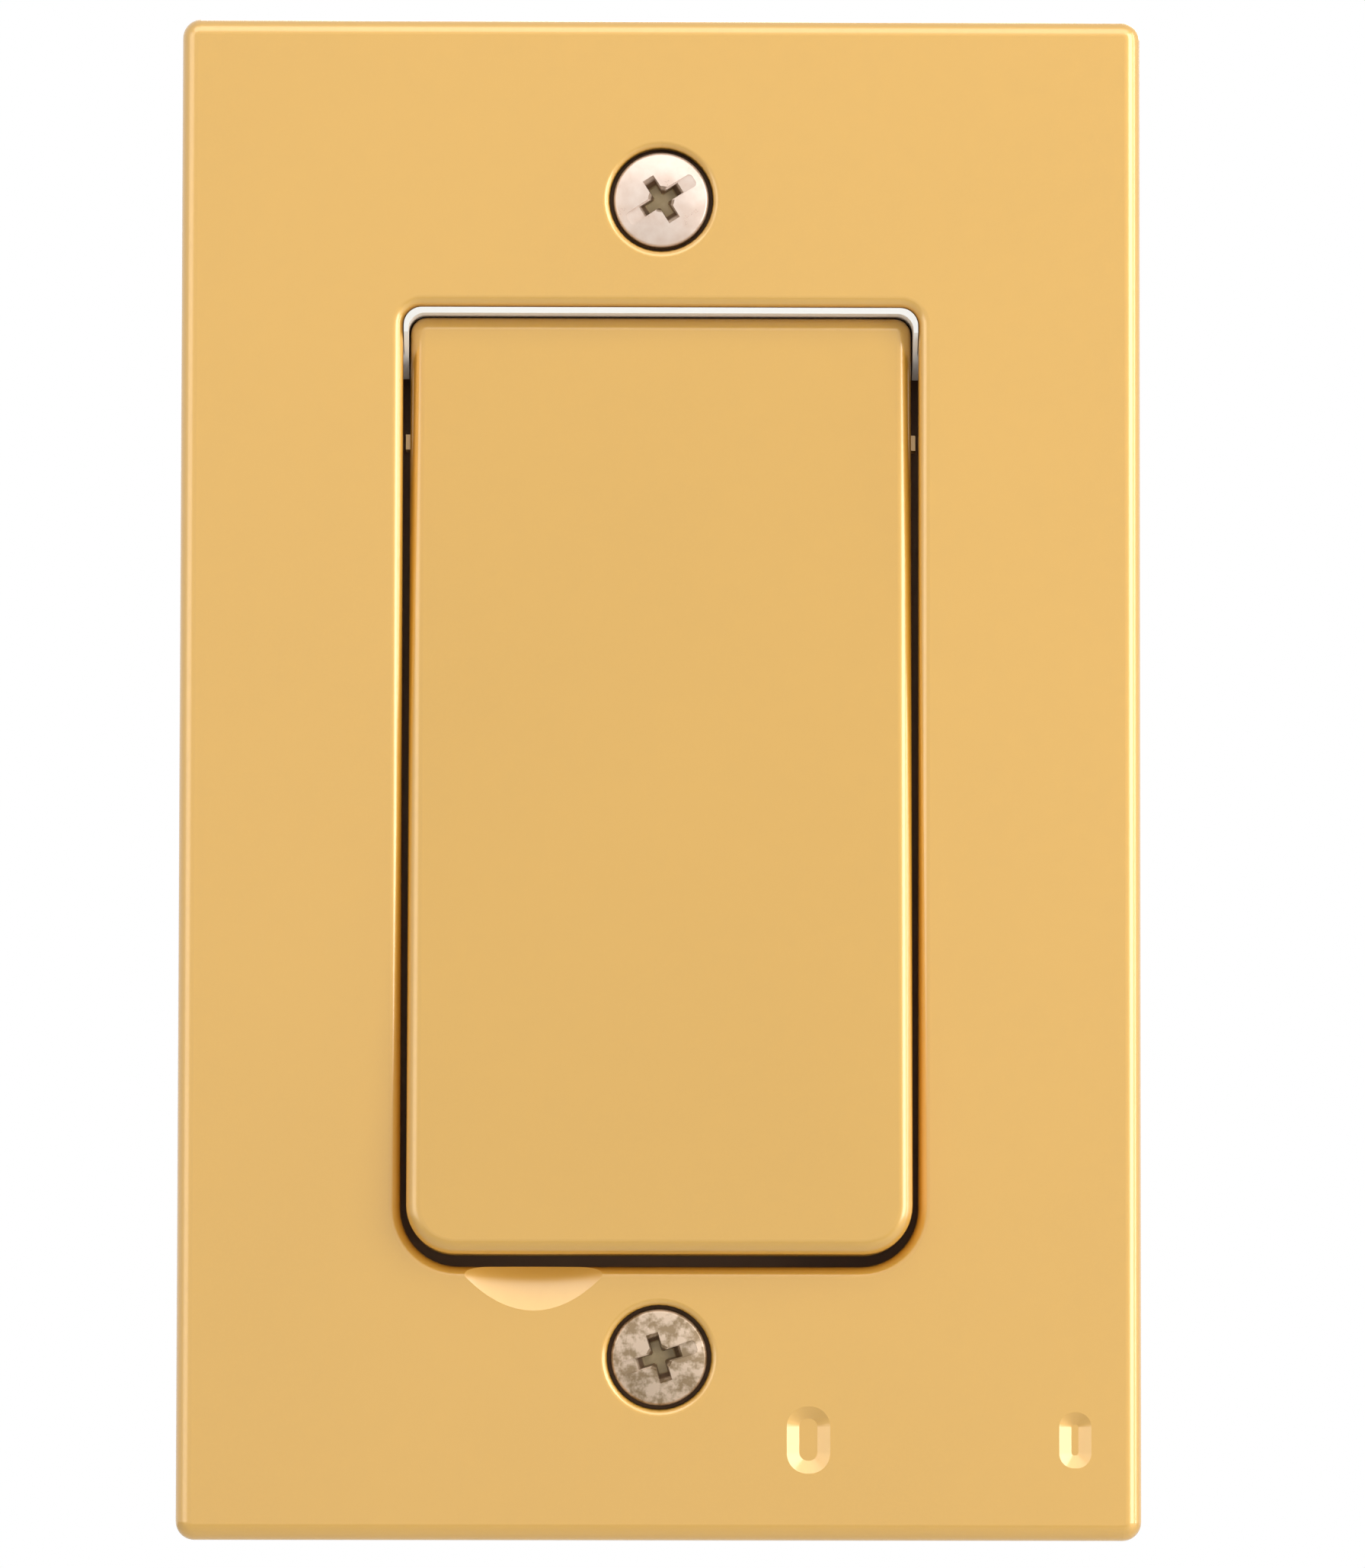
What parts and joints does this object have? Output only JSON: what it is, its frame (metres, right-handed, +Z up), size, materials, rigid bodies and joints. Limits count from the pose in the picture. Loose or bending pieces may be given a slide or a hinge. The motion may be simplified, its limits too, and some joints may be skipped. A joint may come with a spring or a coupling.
{
  "type": "rocker wall switch",
  "caption": "Flat satin gold rectangular wall plate with a large rocker paddle, two visible screws and a strap-mounted switch body behind",
  "frame": {"origin": "midway between the two box screws, in the plane of the wall", "axes": "+X to the right seen from the room, +Y into the wall along the box screws, +Z up along the plate's height"},
  "size_m": [0.0692, 0.0354, 0.1094],
  "materials": {
    "plate_gold": "satin gold finish",
    "paddle_gold": "satin gold finish",
    "screw_plating": "yellow-passivated zinc plate",
    "strap_steel": "galvanised",
    "frame_plastic": "moulded, dark brown",
    "lip_white": "moulded, white",
    "housing_plastic": "moulded thermoset",
    "carrier_plastic": "moulded",
    "plunger_nylon": "natural nylon",
    "fibre_washer": "vulcanised fibre",
    "earth_green": "green dyed plating",
    "earth_steel": "zinc plated",
    "stop_rubber": "matte",
    "rivet_metal": "drawn tube",
    "spring_steel": "bright wire",
    "lever_copper": "rolled strip",
    "strip_copper": "rolled strip",
    "silver_contact": "silver alloy",
    "terminal_brass": "machined",
    "terminal_screw_steel": "zinc plated, slotted"
  },
  "bodies": {
    "base": {"face_plate": "plate_gold", "plate_screws": "screw_plating", "captive_washers": "fibre_washer", "mounting_strap": "strap_steel", "earth_screw": "earth_green", "earth_clamp": "earth_steel", "front_frame": "frame_plastic", "gap_lip": "lip_white", "stop_pads": "stop_rubber", "rivets": "rivet_metal", "housing": "housing_plastic", "fixed_contacts": "silver_contact", "common_strip": "strip_copper", "upper_strip": "strip_copper", "lower_strip": "strip_copper", "common_block": "terminal_brass", "upper_block": "terminal_brass", "lower_block": "terminal_brass", "terminal_screws": "terminal_screw_steel"},
    "rocker": {"paddle": "paddle_gold", "rocker_carrier": "carrier_plastic", "plunger_spring": "spring_steel"},
    "plunger": {"plunger": "plunger_nylon"},
    "contact_lever": {"contact_lever": "lever_copper", "moving_contacts": "silver_contact"}
  },
  "joints": [
    {"name": "rocker", "type": "hinge", "parent": "base", "child": "rocker", "pos_m": [0, -0.0024, -0.00065], "axis": [1, 0, 0], "range_deg": [0, 7]},
    {"name": "contact_lever", "type": "hinge", "parent": "base", "child": "contact_lever", "pos_m": [0, 0.0132, -0.00065], "axis": [1, 0, 0], "range_deg": [-12, 0]},
    {"name": "plunger", "type": "slide", "parent": "rocker", "child": "plunger", "axis": [0, 0.9981, -0.061], "range_m": [-0.001, 0], "stiffness_N_per_m": 500, "springref_m": 0.002, "deforming": ["plunger_spring"]}
  ],
  "couplings": [
    {"joint": "contact_lever", "follows": "rocker", "ratio": -1.7143}
  ]
}
